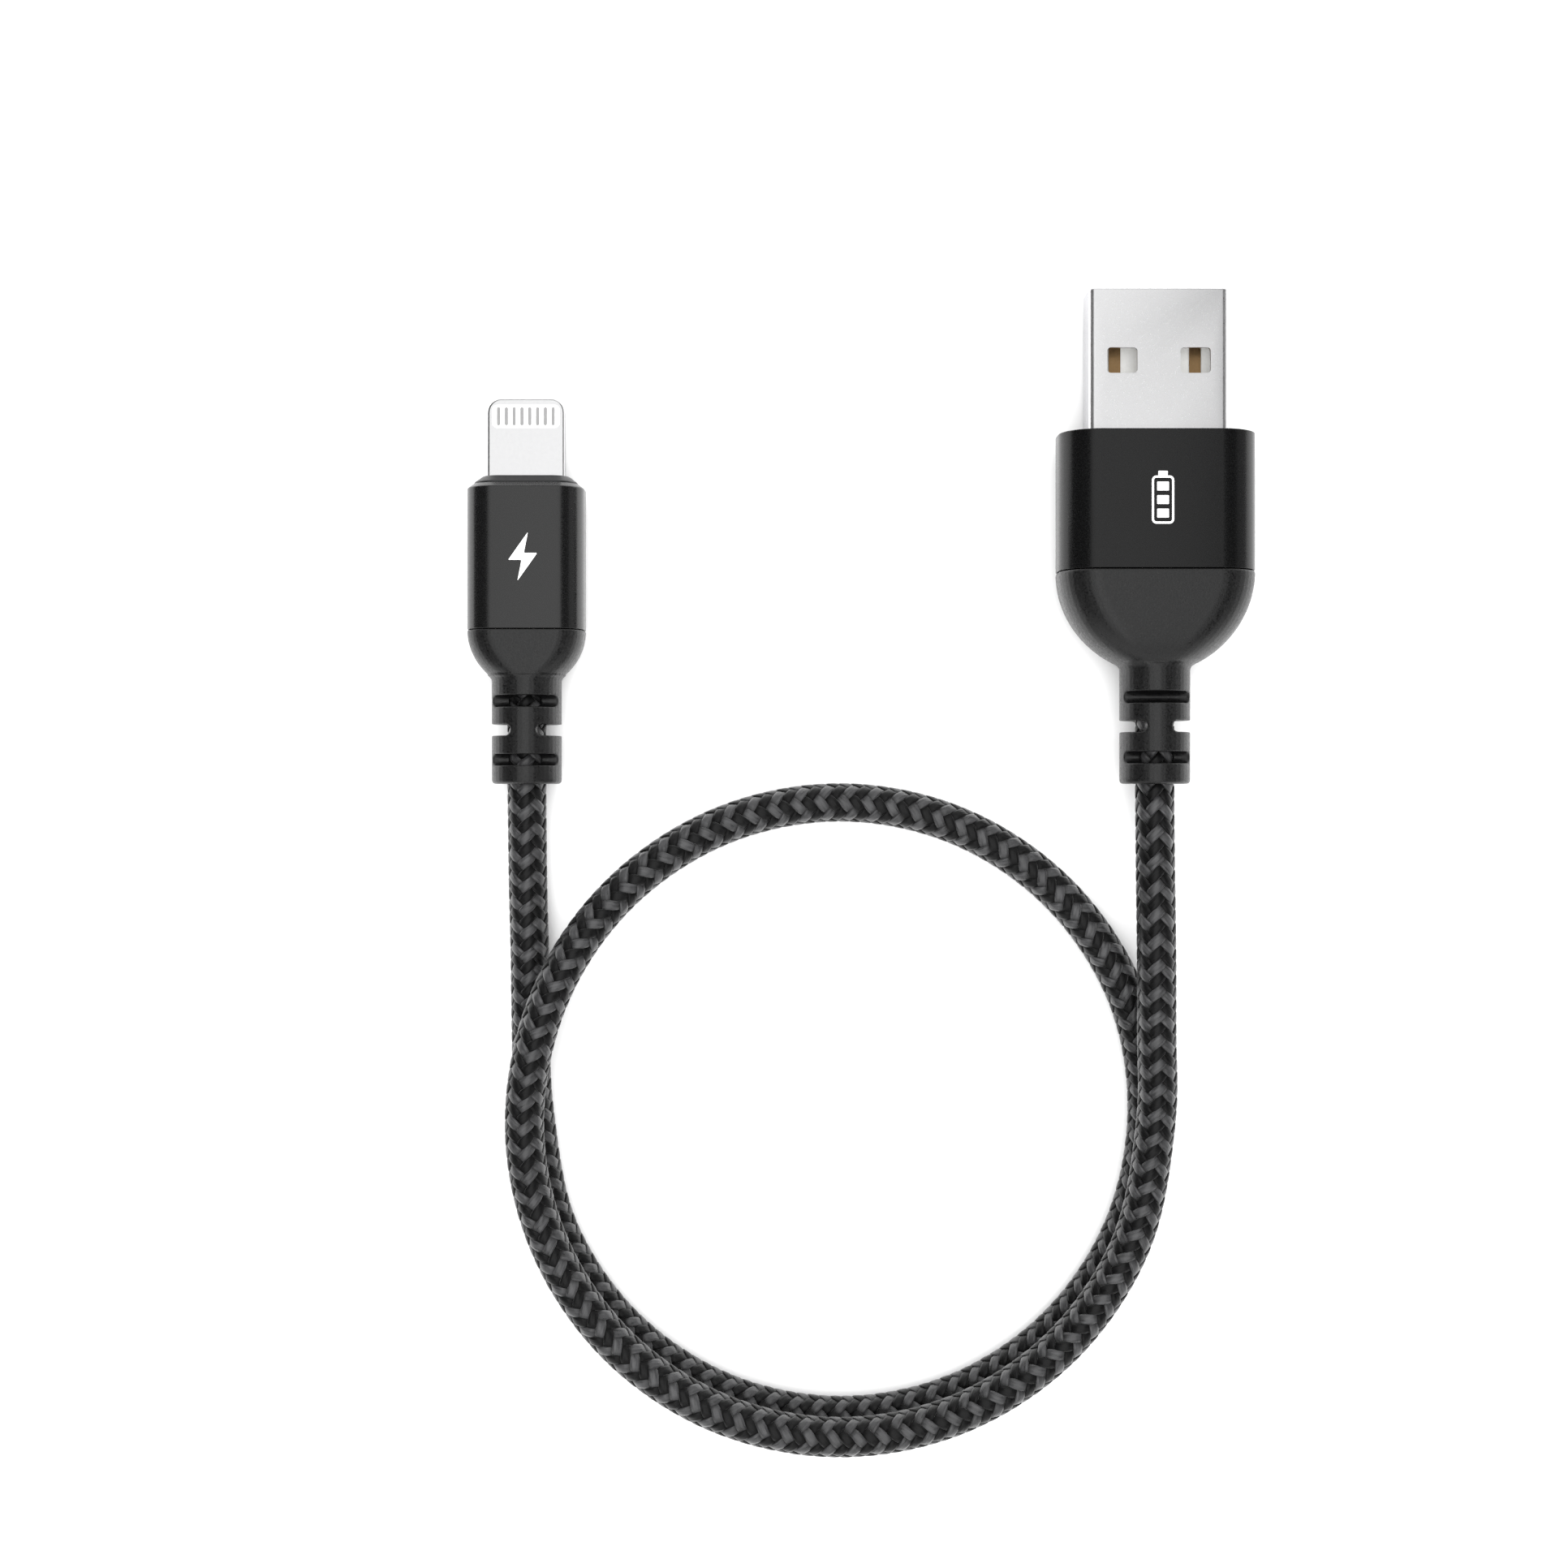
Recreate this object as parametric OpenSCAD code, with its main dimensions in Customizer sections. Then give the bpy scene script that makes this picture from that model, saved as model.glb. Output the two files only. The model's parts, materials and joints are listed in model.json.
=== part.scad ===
// Charging cable: a USB-A plug and a slim eight-contact phone plug on a short braided cord,
// lying flat in one and a half turns. Millimetres, +Z up, table at z = 0.
// Both connectors point along +Y. The origin is on the table, midway between the outer edges
// of the two connectors in X and midway along them in Y.

/* [Cord] */
// Outer diameter of the braided cord
cord_d = 3.4; // [3.0:0.1:3.4]
// Room between the cord and the bore of each boot
cord_clear = 0.05; // [0.02:0.01:0.1]

/* [USB plug] */
// Width of the plug's steel shell
shell_w = 12; // [11.8:0.1:12.2]
// Thickness of the plug's steel shell
shell_t = 4.5; // [4.4:0.1:4.6]
// Wall of the steel shell
shell_wall = 0.3; // [0.25:0.05:0.35]
// Length of the steel shell that stands out of the sleeve
shell_out = 12.35; // [11.8:0.1:12.6]
// Whole length of the steel shell
shell_len = 18.7; // [18.5:0.1:18.9]
// Width of the sleeve
usb_w = 17; // [16.6:0.1:17.6]
// Thickness of the sleeve
usb_t = 8.4; // [8:0.1:8.8]
// Corner radius of the sleeve
usb_r = 3.3; // [3:0.1:3.6]
// Length of the round shoulder behind the sleeve, if it ran on to a point
usb_shoulder = 8.75; // [8.3:0.05:9.2]
// Length of the sleeve
usb_sleeve_len = 11.9; // [11.5:0.1:12.5]

/* [Phone plug] */
// Width of the tab
tab_w = 6.7; // [6.6:0.1:6.8]
// Thickness of the tab
tab_t = 1.5; // [1.5:0.05:1.6]
// Length of the tab that stands out of the collar
tab_out = 6.8; // [6.5:0.1:6.9]
// Width of the sleeve
tip_w = 10.2; // [9.8:0.1:10.6]
// Thickness of the sleeve
tip_t = 6.2; // [6:0.1:6.4]
// Corner radius of the sleeve
tip_r = 2.4; // [2:0.1:2.6]
// Length of the round shoulder behind the sleeve, if it ran on to a point
tip_shoulder = 5.1; // [4.8:0.05:5.4]
// Length of the sleeve
tip_sleeve_len = 12.7; // [12.3:0.1:13]

/* [Boots] */
// Outer diameter of the flexible boots
boot_d = 6.1; // [5.8:0.1:6.2]
// Width of each relief slot along the cord
slot_w = 1; // [0.9:0.05:1.1]
// Distance from the boot's axis to the bottom of a slot
slot_floor = 1.1; // [1.05:0.05:1.3]
// Cut through the webs at the two flexing slots
slit_w = 0.6; // [0.5:0.05:0.7]

/* [Hidden] */

eps = 0.01;
far = 20;
cord_r = cord_d / 2;
bore_r = cord_r + cord_clear;
boot_r = boot_d / 2;

// Slot levels above each boot's mouth: one cut from the front and back, one cut from both
// sides, where the boot swings, and one cut from the front and back, where it tilts
usb_levels = [2.3, 5, 7.5];
tip_levels = [2.1, 4.7, 7.2];
cord_gap = 0.45;        // from a flexing slot's middle to the end of the cord beside it

// Heights along each connector, measured from its boot's mouth
usb_seam = 18.4;
usb_face = usb_seam + usb_sleeve_len;
usb_tip = usb_face + shell_out;
tip_seam = 13.4;
tip_face = tip_seam + tip_sleeve_len;
collar_out = 0.7;
tab_root = tip_face + collar_out;
tab_end = tab_root + tab_out;

// The two connectors stand side by side, and the taller one is centred on the origin in Y to
// about a tenth of a millimetre
mouth_y = -21.2;
usb_x = 25.65;
tip_x = -29.1;
usb_z = usb_t / 2;
tip_z = tip_t / 2;

// Heights of the cord's centre line: lying on the table, and lying on the turn below it
low = cord_r;
high = 3 * cord_r + 0.1;

// Half turns of the cord as [centre, radius, first angle, last angle]: round the bottom on the
// table, back over the top while climbing, and round the bottom again on the turn below
turns = [
    [[-1.6, -49.9], 27, 180, 360],
    [[-1.7, -50.1], 27.3, 0, 180],
    [[-1.75, -50.4], 27.35, 180, 360],
];
steps_per_half_turn = 8;
climb = [80, 172];      // angles of the middle half turn where the cord starts and stops climbing

function smooth(t) = let (u = min(max(t, 0), 1)) u * u * (3 - 2 * u);
function height(turn, a) = turn == 0 ? low : turn == 2 ? high
    : low + (high - low) * smooth((a - climb[0]) / (climb[1] - climb[0]));
function turn_points(i) = [for (k = [0 : steps_per_half_turn])
    let (t = turns[i], a = t[2] + (t[3] - t[2]) * k / steps_per_half_turn)
    if (i != 1 || (k > 0 && k < steps_per_half_turn))
        [t[0].x + t[1] * cos(a), t[0].y + t[1] * sin(a), height(i, a)]];

// Centre line of the cord from inside the phone plug's boot to inside the USB plug's boot:
// down one lead, one turn, over the first lead, half a turn on top, up the other lead
route = concat(
    [[tip_x, mouth_y + tip_levels[1] - cord_gap, tip_z], [tip_x, mouth_y, tip_z],
        [-29.1, -26, 2.7], [-29.1, -31, 2.1], [-29, -36.5, low], [-28.9, -43, low]],
    turn_points(0), turn_points(1), turn_points(2),
    [[25.65, -43, high], [25.65, -36, high], [25.65, -28.5, 4.6],
        [usb_x, mouth_y, usb_z], [usb_x, mouth_y + usb_levels[1] - cord_gap, usb_z]]);
cord_sides = 8;
steps_per_span = 2;

// Points of a smooth curve through four points in a row, at t from 0 to 1 between the middle two
function spline(a, b, c, d, t) =
    (2 * b + (c - a) * t + (2 * a - 5 * b + 4 * c - d) * t * t + (3 * b - a - 3 * c + d) * t * t * t) / 2;
function route_at(i, t) =
    let (n = len(route) - 1, p = spline(route[max(i - 1, 0)], route[i], route[i + 1], route[min(i + 2, n)], t))
    [p.x, p.y, max(p.z, cord_r)];
centre_line = concat(
    [for (i = [0 : len(route) - 2]) for (k = [0 : steps_per_span - 1]) route_at(i, k / steps_per_span)],
    [route[len(route) - 1]]);

function unit(v) = v / norm(v);
function heading(line, i) = unit(line[min(i + 1, len(line) - 1)] - line[max(i - 1, 0)]);

// Outline of a rectangle w by t with corners of radius r, as points
corner_steps = 8;
function rounded(w, t, r) = [
    for (q = [0 : 3]) for (k = [0 : corner_steps])
        let (a = 90 * q + 90 * k / corner_steps, sx = (q == 0 || q == 3) ? 1 : -1, sy = q < 2 ? 1 : -1)
        [sx * (w / 2 - r) + r * cos(a), sy * (t / 2 - r) + r * sin(a)]
];

// ---------- building blocks, in a connector's own frame: axis along Y, mouth of the boot at y = 0

// A flat outline in X and Z, drawn out from y0 to y1
module along_y(y0, y1) { translate([0, y1, 0]) rotate([90, 0, 0]) linear_extrude(y1 - y0) children(); }

module block(low_corner, high_corner) { translate(low_corner) cube(high_corner - low_corner); }

module rod(r, y0, y1) { along_y(y0, y1) circle(r, $fn = 48); }

module rounded_bar(w, t, r, y0, y1) { along_y(y0, y1) polygon(rounded(w, t, r)); }

module tube(outer_r, inner_r, y0, y1) {
    difference() {
        rod(outer_r, y0, y1);
        rod(inner_r, y0 - eps, y1 + eps);
    }
}

module place_usb() { translate([usb_x, mouth_y, usb_z]) children(); }

module place_tip() { translate([tip_x, mouth_y, tip_z]) children(); }

// ---------- the cord

module swept_tube(line, r, sides) {
    rings = len(line);
    points = [for (i = [0 : rings - 1]) for (k = [0 : sides - 1])
        let (t = heading(line, i), side = unit(cross(t, [0, 0, 1])), up = cross(side, t), a = 360 * k / sides)
        line[i] + r * (cos(a) * side + sin(a) * up)];
    walls = [for (i = [0 : rings - 2]) for (k = [0 : sides - 1]) for (half = [0, 1])
        let (a = i * sides + k, b = i * sides + (k + 1) % sides)
        half == 0 ? [a, b, b + sides] : [a, b + sides, a + sides]];
    near_cap = [for (k = [sides - 1 : -1 : 0]) k];
    far_cap = [for (k = [0 : sides - 1]) (rings - 1) * sides + k];
    polyhedron(points, concat(walls, [near_cap, far_cap]));
}

module cord() { color("dimgray") swept_tube(centre_line, cord_r, cord_sides); }

// Short ends of the cord inside a boot, between and beyond its two flexing slots
module cord_link(levels) { color("dimgray") rod(cord_r, levels[1] + cord_gap, levels[2] - cord_gap); }

module cord_end(levels, ferrule_y) {
    color("dimgray") rod(cord_r, levels[2] + cord_gap, ferrule_y + ferrule_len);
}

// ---------- boots

ferrule_len = 2;
ferrule_r = 2.3;
mouth_edge = 0.3;

// One cut with a round bottom from each side of the boot, turned about the cord
module slot_pair(y, turn) {
    rotate([0, turn, 0]) for (way = [-1, 1]) translate([0, y, way * (slot_floor + slot_w / 2)]) {
        rotate([0, 90, 0]) cylinder(h = far, r = slot_w / 2, center = true, $fn = 32);
        translate([-far / 2, -slot_w / 2, way > 0 ? 0 : -far]) cube([far, slot_w, far]);
    }
}

module relief_slots(levels) {
    slot_pair(levels[0], 0);
    slot_pair(levels[1], 90);
    slot_pair(levels[2], 0);
}

module boot_tail(levels) {
    end_y = levels[1] - slit_w / 2;
    color("#1c1c1e") difference() {
        rotate([-90, 0, 0]) rotate_extrude($fn = 64) polygon([
            [bore_r, 0], [boot_r - mouth_edge, 0], [boot_r, mouth_edge], [boot_r, end_y], [bore_r, end_y]]);
        relief_slots(levels);
    }
}

module boot_ring(levels) {
    color("#1c1c1e") difference() {
        tube(boot_r, bore_r, levels[1] + slit_w / 2, levels[2] - slit_w / 2);
        relief_slots(levels);
    }
}

// The round shoulder between sleeve and neck: its width follows a circle, and its thickness
// follows cos(a) to the power thin, so that 0 keeps the sleeve's full thickness
module shoulder(w, t, r, seam, drop, thin) {
    hull() for (a = [0, 12, 24, 36, 48, 58, 66])
        let (half_w = w / 2 * cos(a), half_t = t / 2 * pow(cos(a), thin), y = seam - drop * sin(a))
        let (corner = r + (min(half_w, half_t) - r) * sin(a))
        if (half_w >= boot_r - 0.5)
            rounded_bar(2 * half_w, 2 * half_t, min(corner, half_w - eps, half_t - eps), y - 0.05, y);
}

// Shoulder and neck in one piece, hollow for the crimped ferrule and the wires
module boot_head(w, t, r, seam, drop, thin, levels, ferrule_y, room) {
    color("#1c1c1e") difference() {
        union() {
            shoulder(w, t, r, seam, drop, thin);
            rod(boot_r, levels[2] + slit_w / 2, seam - drop * 0.75);
        }
        rod(bore_r, 0, seam);
        rod(ferrule_r + 0.05, ferrule_y - 0.05, seam);
        rounded_bar(room.x, room.y, 1, ferrule_y + ferrule_len + 0.6, seam + eps);
        relief_slots(levels);
    }
}

module ferrule(y) { color("silver") tube(ferrule_r, bore_r, y, y + ferrule_len); }

// ---------- wires, from the cord's end to a pad on a circuit board

wire_names = ["red", "white", "green", "black"];
wire_colours = ["firebrick", "whitesmoke", "seagreen", "#222222"];
wire_sides = 8;
pad_length = 1.6;

// Wire number i of a connector: they leave the cord side by side and fan out to pads that
// stand pad_step apart across the board, where they lie on its top
module board_wire(i, r, y, pad_y, pad_step, board_top) {
    across = i - 1.5;
    z = board_top + r + eps;
    start_x = (2 * r + 0.1) * across;
    end_x = pad_step * across;
    color(wire_colours[i]) swept_tube([
        [start_x, y + eps, z], [start_x, y + 0.6, z],
        [end_x, pad_y, z], [end_x, pad_y + pad_length, z]], r, wire_sides);
}

// ---------- USB plug

usb_ferrule_y = 10.4;
usb_room = [11.4, 5.4];
usb_room_depth = 4.5;   // how far the inner moulding reaches back into the shoulder
sleeve_wall = 0.8;
fit = 0.05;
usb_shell_rear = usb_tip - shell_len;
usb_board = [[-4.9, usb_seam - 2.6, -1.1], [4.9, usb_shell_rear + 0.3, -0.1]];
usb_plate_t = 0.8;
inner_w = shell_w - 2 * shell_wall;
inner_t = shell_t - 2 * shell_wall;
tongue_top = -0.1;
tongue_step = 0.6;      // the tongue stops this far behind the shell's lip
contact_t = 0.2;
window = [2.6, 2.2];
window_x = 3.15;
window_from_tip = 6.2;

module usb_boot_head() {
    boot_head(usb_w, usb_t, usb_r, usb_seam, usb_shoulder, 0.4, usb_levels, usb_ferrule_y, usb_room);
}

module usb_wire(i) {
    board_wire(i, 0.45, usb_ferrule_y + ferrule_len, usb_board[0].y + 0.5, 2.2, usb_board[1].z);
}

module usb_circuit_board() { color("darkgreen") block(usb_board[0], usb_board[1]); }

module usb_board_chip() {
    y = usb_board[0].y + 4;
    color("#303034") block([-1.5, y, usb_board[1].z], [1.5, y + 2.2, usb_board[1].z + 0.8]);
}

// Hard plastic core: it fills the sleeve, reaches back into the boot's shoulder, and is hollow
// for the circuit board and slotted for the metal part in front
module inner_mould(w, t, r, room, room_depth, seam, face, cavity, cavity_end, slot) {
    color("#e6e4dc") difference() {
        union() {
            rounded_bar(w - 2 * (sleeve_wall + fit), t - 2 * (sleeve_wall + fit), r - sleeve_wall,
                seam + eps, face);
            rounded_bar(room.x - 2 * fit, room.y - 2 * fit, 1 - fit, seam - room_depth, seam + 1);
        }
        rounded_bar(cavity.x, cavity.y, 0.3, seam - room_depth - eps, cavity_end);
        along_y(cavity_end - 0.3, face + eps) square(slot + 2 * [fit, fit], center = true);
    }
}

module usb_inner_mould() {
    inner_mould(usb_w, usb_t, usb_r, usb_room, usb_room_depth, usb_seam, usb_face - usb_plate_t - fit,
        [10, 3.4], usb_shell_rear + 0.3, [shell_w, shell_t]);
}

module usb_sleeve() {
    color("#111113") difference() {
        rounded_bar(usb_w, usb_t, usb_r, usb_seam, usb_face);
        rounded_bar(usb_w - 2 * sleeve_wall, usb_t - 2 * sleeve_wall, usb_r - sleeve_wall,
            usb_seam - eps, usb_face + eps);
    }
}

module usb_front_plate() {
    color("#18181a") difference() {
        rounded_bar(usb_w - 2 * sleeve_wall - 2 * fit, usb_t - 2 * sleeve_wall - 2 * fit, usb_r - sleeve_wall,
            usb_face - usb_plate_t, usb_face - 0.1);
        along_y(usb_face - 2, usb_face + 1) square([shell_w + 2 * fit, shell_t + 2 * fit], center = true);
    }
}

// Folded steel shell with two latch windows in each broad face and its seam underneath
module usb_shell() {
    color("gainsboro") difference() {
        rounded_bar(shell_w, shell_t, 0.55, usb_shell_rear, usb_tip);
        rounded_bar(inner_w, inner_t, 0.3, usb_shell_rear - eps, usb_tip + eps);
        for (side = [-1, 1]) translate([side * window_x, usb_tip - window_from_tip, 0])
            cube([window.x, window.y, far], center = true);
        block([-0.06, usb_shell_rear - eps, -shell_t / 2 - 1], [0.06, usb_tip + eps, -shell_t / 2 + 0.12]);
    }
}

module usb_tongue() {
    color("whitesmoke") block([-inner_w / 2 + fit, usb_shell_rear + 0.35, -inner_t / 2 + fit],
        [inner_w / 2 - fit, usb_tip - tongue_step, tongue_top]);
}

// Contact at x, ending set_back behind the shell's lip, with its tail on the circuit board
module usb_contact(x, set_back) {
    color("gold") block([x - 0.5, usb_shell_rear - 1.2, tongue_top],
        [x + 0.5, usb_tip - set_back, tongue_top + contact_t]);
}

// ---------- phone plug

tip_ferrule_y = 9;
tip_room = [7.2, 4.4];
tip_room_depth = 1.8;   // how far the inner moulding reaches back into the shoulder
tip_mould_end = 1.2;    // from the sleeve's front back to the inner moulding
tab_rear = tip_seam + 6.5;
tip_board = [[-2.9, tip_seam - 0.6, -0.5], [2.9, tab_rear - 0.05, 0.1]];
chip_z = tip_board[1].z;
contact_count = 8;
contact_step = 0.68;
contact = [0.3, 1.6, 0.05];
contact_y = tab_end - 1.55;
tab_window = [5.9, 2];

module tip_boot_head() {
    boot_head(tip_w, tip_t, tip_r, tip_seam, tip_shoulder, 0, tip_levels, tip_ferrule_y, tip_room);
}

module tip_wire(i) {
    board_wire(i, 0.35, tip_ferrule_y + ferrule_len, tip_board[0].y + 0.3, 1.35, tip_board[1].z);
}

module tip_circuit_board() { color("darkgreen") block(tip_board[0], tip_board[1]); }

module tip_control_chip() {
    color("#303034") block([-1.6, tip_board[0].y + 3.2, chip_z], [1.6, tip_board[0].y + 5.6, chip_z + 0.7]);
}

module tip_inner_mould() {
    inner_mould(tip_w, tip_t, tip_r, tip_room, tip_room_depth, tip_seam, tip_face - tip_mould_end,
        [6, 2.6], tab_rear + 0.1, [tab_w, tab_t]);
}

// Turned-in front edge of the sleeve, as a cut all round
module edge_cut(w, t, r, y, side, rise) {
    difference() {
        along_y(y, y + 1) square([w + 2, t + 2], center = true);
        hull() {
            rounded_bar(w, t, r, y - eps, y);
            rounded_bar(w - 2 * side, t - 2 * side, r - side, y + rise, y + rise + eps);
        }
    }
}

module tip_sleeve() {
    color("#111113") difference() {
        rounded_bar(tip_w, tip_t, tip_r, tip_seam, tip_face);
        rounded_bar(tip_w - 2 * sleeve_wall, tip_t - 2 * sleeve_wall, tip_r - sleeve_wall,
            tip_seam - eps, tip_face + eps);
        edge_cut(tip_w, tip_t, tip_r, tip_face - 0.4, 0.55, 0.4);
    }
}

// Plastic collar in the mouth of the sleeve, bevelled towards the tab
module tip_front_collar() {
    foot_w = tip_w - 2 * sleeve_wall - 2 * fit;
    foot_t = tip_t - 2 * sleeve_wall - 2 * fit;
    color("#18181a") difference() {
        union() {
            rounded_bar(foot_w, foot_t, tip_r - sleeve_wall, tip_face - tip_mould_end + fit, tip_face + 0.1);
            hull() {
                rounded_bar(tip_w - 1.2, tip_t - 1.2, tip_r - 0.6, tip_face + 0.02, tip_face + 0.1);
                rounded_bar(tip_w - 2.6, tip_t - 2.4, tip_r - 1.2, tab_root - 0.05, tab_root);
            }
        }
        along_y(tip_face - 2, tab_root + 1) square([tab_w + 2 * fit, tab_t + 2 * fit], center = true);
    }
}

// Steel tab with rounded front corners, a window for the contact block and two latch hollows
module tip_tab_frame() {
    corner = 1.2;
    color("silver") difference() {
        translate([0, 0, -tab_t / 2]) linear_extrude(tab_t) polygon(concat(
            [[-tab_w / 2, tab_rear + fit], [tab_w / 2, tab_rear + fit]],
            [for (a = [0 : 10 : 90])
                [tab_w / 2 - corner + corner * cos(a), tab_end - corner + corner * sin(a)]],
            [for (a = [90 : 10 : 180])
                [corner - tab_w / 2 + corner * cos(a), tab_end - corner + corner * sin(a)]]));
        translate([0, contact_y, 0]) cube([tab_window.x, tab_window.y, far], center = true);
        for (side = [-1, 1]) translate([side * (tab_w / 2 + 0.35), tab_root + 2.1, 0])
            cylinder(h = 0.9, r = 0.65, center = true, $fn = 32);
    }
}

module tip_contact_block() {
    color("white") translate([0, contact_y, 0])
        cube([tab_window.x - 2 * eps, tab_window.y - 2 * eps, tab_t - 2 * contact.z], center = true);
}

module tip_contacts(side) {
    color("gold") for (k = [0 : contact_count - 1])
        translate([(k - (contact_count - 1) / 2) * contact_step, contact_y, side * (tab_t - contact.z) / 2])
            cube(contact, center = true);
}

// ---------- drawing

cord();
place_usb() boot_tail(usb_levels);  // usb_boot_tail
place_tip() boot_tail(tip_levels);  // tip_boot_tail
place_usb() boot_ring(usb_levels);  // usb_boot_ring
place_tip() boot_ring(tip_levels);  // tip_boot_ring
place_usb() cord_link(usb_levels);  // usb_cord_link
place_tip() cord_link(tip_levels);  // tip_cord_link
place_usb() usb_boot_head();
place_tip() tip_boot_head();
place_usb() cord_end(usb_levels, usb_ferrule_y);  // usb_cord_end
place_tip() cord_end(tip_levels, tip_ferrule_y);  // tip_cord_end
place_usb() ferrule(usb_ferrule_y);  // usb_ferrule
place_tip() ferrule(tip_ferrule_y);  // tip_ferrule
for (i = [0 : 3]) {
    place_usb() usb_wire(i);
    place_tip() tip_wire(i);
}
place_usb() usb_circuit_board();
place_usb() usb_board_chip();
place_usb() usb_inner_mould();
place_usb() usb_sleeve();
place_usb() usb_front_plate();
place_usb() usb_shell();
place_usb() usb_tongue();
place_usb() usb_contact(3.5, 1.6);  // usb_contact_power
place_usb() usb_contact(1, 2.6);  // usb_contact_data_minus
place_usb() usb_contact(-1, 2.6);  // usb_contact_data_plus
place_usb() usb_contact(-3.5, 1.6);  // usb_contact_ground
place_tip() tip_circuit_board();
place_tip() tip_control_chip();
place_tip() tip_inner_mould();
place_tip() tip_sleeve();
place_tip() tip_front_collar();
place_tip() tip_tab_frame();
place_tip() tip_contact_block();
place_tip() tip_contacts(1);  // tip_contacts_front
place_tip() tip_contacts(-1);  // tip_contacts_back
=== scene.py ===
"""Charging cable: the looks. A USB-A plug and a slim phone plug on a short braided cord.

Lengths are in millimetres up to the moment a mesh is made, and metres after it. Each plug is
drawn in its own frame, as in the CAD: its axis along +Y, with the mouth of its boot at y = 0.
"""

import json
from math import ceil, cos, pi, radians, sin, sqrt

import bmesh
import bpy
import numpy as np
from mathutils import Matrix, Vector


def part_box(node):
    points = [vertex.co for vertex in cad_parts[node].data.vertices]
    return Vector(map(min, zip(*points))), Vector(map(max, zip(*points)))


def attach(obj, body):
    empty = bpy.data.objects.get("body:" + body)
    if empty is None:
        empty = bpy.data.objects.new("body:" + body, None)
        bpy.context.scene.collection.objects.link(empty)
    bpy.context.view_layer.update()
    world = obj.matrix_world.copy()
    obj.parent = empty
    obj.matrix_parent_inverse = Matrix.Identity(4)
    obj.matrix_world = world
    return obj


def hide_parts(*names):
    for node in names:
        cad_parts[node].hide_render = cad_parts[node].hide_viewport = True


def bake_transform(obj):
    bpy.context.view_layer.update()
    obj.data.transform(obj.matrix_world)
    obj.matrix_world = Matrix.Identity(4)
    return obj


MM = 0.001
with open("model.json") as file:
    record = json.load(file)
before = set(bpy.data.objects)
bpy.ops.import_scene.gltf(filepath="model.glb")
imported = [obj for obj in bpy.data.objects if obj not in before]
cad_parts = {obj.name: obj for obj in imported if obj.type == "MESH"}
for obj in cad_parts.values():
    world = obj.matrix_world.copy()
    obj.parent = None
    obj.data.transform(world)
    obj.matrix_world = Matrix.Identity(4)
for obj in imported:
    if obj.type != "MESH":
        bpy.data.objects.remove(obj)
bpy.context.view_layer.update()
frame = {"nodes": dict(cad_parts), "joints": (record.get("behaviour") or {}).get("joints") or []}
scene = bpy.context.scene


# ---------- places and sizes, from the frame

def box_mm(node):
    low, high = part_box(node)
    return np.array(low) / MM, np.array(high) / MM


class Plug:
    """One connector's place and main sizes, in millimetres."""

    def __init__(self, name):
        low, high = box_mm(f"{name}_sleeve")
        tail_low, tail_high = box_mm(f"{name}_boot_tail")
        hinge = {j["name"]: j["pos_m"][1] / MM for j in frame["joints"]}
        self.name = name
        self.body = f"{name}_plug"
        self.relief = f"{name}_relief"
        self.w, self.t = high[0] - low[0], high[2] - low[2]
        self.boot_r = (tail_high[0] - tail_low[0]) / 2
        self.origin = np.array([(low[0] + high[0]) / 2, tail_low[1], (low[2] + high[2]) / 2])
        self.seam, self.face = low[1] - self.origin[1], high[1] - self.origin[1]
        self.swing = hinge[f"{name}_boot_swing"] - self.origin[1]
        self.tilt = hinge[f"{name}_boot_tilt"] - self.origin[1]

    def end_of(self, node):
        """How far along the plug a node reaches."""
        return box_mm(node)[1][1] - self.origin[1]

    def point(self, y):
        """A point on the plug's axis, in metres."""
        return tuple((self.origin + [0, y, 0]) * MM)


usb = Plug("usb")
tip = Plug("tip")
CORE = "cord_body"


# ---------- camera: straight above, as the photograph looks at the cable

VIEW_CENTRE = (-6.6, -21.2)
VIEW_HEIGHT = 193.7

camera = bpy.data.objects.new("camera", bpy.data.cameras.new("camera"))
camera.data.lens = 50
camera.data.sensor_width = 36
camera.location = (VIEW_CENTRE[0] * MM, VIEW_CENTRE[1] * MM, VIEW_HEIGHT * MM)
scene.collection.objects.link(camera)
scene.camera = camera


# ---------- materials

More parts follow.
